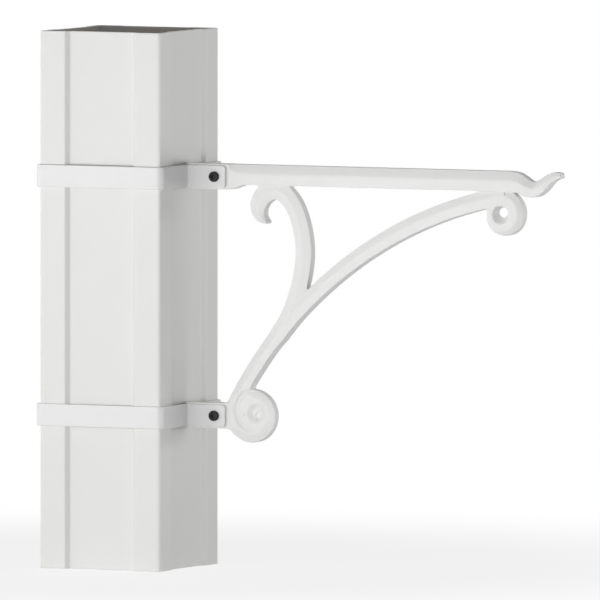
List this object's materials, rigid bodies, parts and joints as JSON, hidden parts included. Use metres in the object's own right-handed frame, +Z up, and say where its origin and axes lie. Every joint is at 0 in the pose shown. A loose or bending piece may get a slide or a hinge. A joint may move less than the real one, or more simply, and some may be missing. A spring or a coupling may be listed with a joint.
{
  "type": "plant hanger post",
  "caption": "Square sleeved post with strap clamps round it that hold a cast scroll bracket; its level arm ends in an upturned hook for a hanging plant.",
  "frame": {"origin": "centre of the post's foot, on the surface it stands on", "axes": "+Z up the post, +X from the post along the arm to its hook, -Y the side with the screw heads"},
  "size_m": [0.5235, 0.134, 0.511],
  "materials": {
    "vinyl": "satin white vinyl",
    "timber": "rough sawn, treated",
    "ring_plastic": "moulded",
    "band_paint": "white powder coat over flat strip",
    "casting_paint": "white powder coat over cast aluminium",
    "black_steel": "black oxide",
    "plain_steel": "zinc plated"
  },
  "bodies": {
    "post": {"post_sleeve": "vinyl", "timber_core": "timber", "lower_centring_ring": "ring_plastic", "upper_centring_ring": "ring_plastic"},
    "hanger": {"upper_band": "band_paint", "lower_band": "band_paint", "upper_washer": "plain_steel", "lower_washer": "plain_steel", "upper_nut": "plain_steel", "lower_nut": "plain_steel", "hanger_arm": "casting_paint", "arched_brace": "casting_paint", "eyelet_scroll": "casting_paint", "inner_scroll": "casting_paint", "lower_scroll": "casting_paint", "lower_lug": "casting_paint"},
    "upper_screw": {"upper_screw": "black_steel"},
    "lower_screw": {"lower_screw": "black_steel"}
  },
  "joints": [
    {"name": "hanger_height", "type": "slide", "parent": "post", "child": "hanger", "axis": [0, 0, 1], "range_m": [-0.115, 0.12]},
    {"name": "upper_screw_turn", "type": "hinge", "parent": "hanger", "child": "upper_screw", "pos_m": [0.095, 0, 0.3734], "axis": [0, 1, 0], "continuous": true},
    {"name": "lower_screw_turn", "type": "hinge", "parent": "hanger", "child": "lower_screw", "pos_m": [0.095, 0, 0.1462], "axis": [0, 1, 0], "continuous": true}
  ]
}
